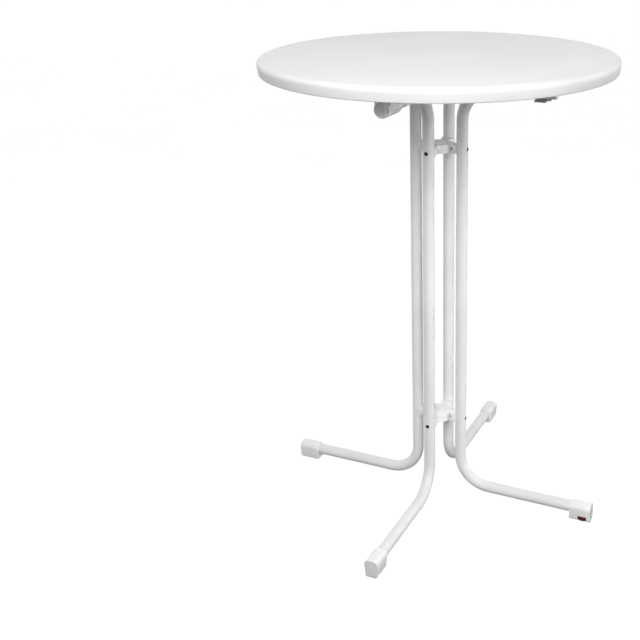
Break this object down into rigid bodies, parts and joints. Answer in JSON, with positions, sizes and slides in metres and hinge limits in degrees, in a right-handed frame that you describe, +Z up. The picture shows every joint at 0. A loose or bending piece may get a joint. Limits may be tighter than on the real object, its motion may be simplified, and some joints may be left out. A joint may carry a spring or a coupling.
{
  "type": "cocktail table",
  "caption": "Folding standing cocktail table: round white top on bent white tube legs that cross at plastic connectors, with a tilting top, a spring catch and a levelling foot.",
  "frame": {"origin": "on the floor, under the centre of the round top", "axes": "+Z up; +X towards the right leg, which has the levelling wheel; +Y towards the back leg"},
  "size_m": [0.7999, 0.8, 1.1],
  "materials": {
    "tube_white": "satin powder coat",
    "top_white": "satin white coating on board",
    "plastic_white": "fine matt",
    "plastic_grey": "fine matt",
    "bush_dark": "smooth",
    "catch_dark": "fine matt",
    "screw_black": "black oxide",
    "steel": "zinc plated",
    "pad_rubber": "matt",
    "wheel_red": "fine matt"
  },
  "bodies": {
    "main_frame": {"post_front": "tube_white", "post_back": "tube_white", "foot_cap_front": "plastic_white", "foot_cap_back": "plastic_white", "upper_fixed_arm": "plastic_white", "lower_fixed_arm": "plastic_white", "pivot_bolts": "steel", "pivot_sleeves": "steel", "pivot_washers": "steel", "pivot_nuts": "steel", "fixed_tube_screws": "screw_black", "fixed_tube_nuts": "screw_black", "hinge_end_cap_front": "plastic_grey", "hinge_end_cap_back": "plastic_grey"},
    "swing_frame": {"post_left": "tube_white", "post_right": "tube_white", "foot_cap_left": "plastic_white", "foot_cap_right": "plastic_white", "upper_swing_arm": "plastic_white", "lower_swing_arm": "plastic_white", "swing_tube_screws": "screw_black", "swing_tube_nuts": "screw_black", "left_post_plug": "plastic_white", "right_arm_plug": "plastic_white", "level_nut": "steel", "pivot_caps": "plastic_white"},
    "tabletop": {"tabletop": "top_white", "hinge_bracket_front": "plastic_grey", "hinge_bracket_back": "plastic_grey", "hinge_bush_front": "bush_dark", "hinge_bush_back": "bush_dark", "hinge_screws": "steel", "catch_housing": "plastic_grey", "catch_pin": "steel", "catch_screws": "steel", "rest_pad": "pad_rubber", "catch_spring": "steel"},
    "catch": {"catch_hook": "catch_dark"},
    "level_pad": {"level_pad": "pad_rubber"},
    "level_wheel": {"level_wheel": "wheel_red", "level_stud": "steel"}
  },
  "joints": [
    {"name": "frame_fold", "type": "hinge", "parent": "main_frame", "child": "swing_frame", "pos_m": [0, 0, 0], "axis": [0, 0, -1], "range_deg": [0, 60]},
    {"name": "top_tilt", "type": "hinge", "parent": "main_frame", "child": "tabletop", "pos_m": [0, 0, 1.032], "axis": [0, -1, 0], "range_deg": [0, 75.5]},
    {"name": "catch_release", "type": "hinge", "parent": "tabletop", "child": "catch", "pos_m": [0.2395, 0.01635, 1.049], "axis": [1, 0, 0], "range_deg": [0, 45], "stiffness_Nm_per_rad": 0.06, "springref_deg": -17.19},
    {"name": "level_pad_slide", "type": "slide", "parent": "swing_frame", "child": "level_pad", "axis": [0, 0, -1], "range_m": [0, 0.00305]},
    {"name": "level_wheel_turn", "type": "hinge", "parent": "level_pad", "child": "level_wheel", "pos_m": [0.377, 0, 0], "axis": [0, 0, 1], "range_deg": [0, 720]}
  ],
  "couplings": [
    {"joint": "top_tilt", "follows": "frame_fold", "ratio": 1.25},
    {"joint": "level_pad_slide", "follows": "level_wheel_turn", "m_per_rad": 0.00023873}
  ]
}
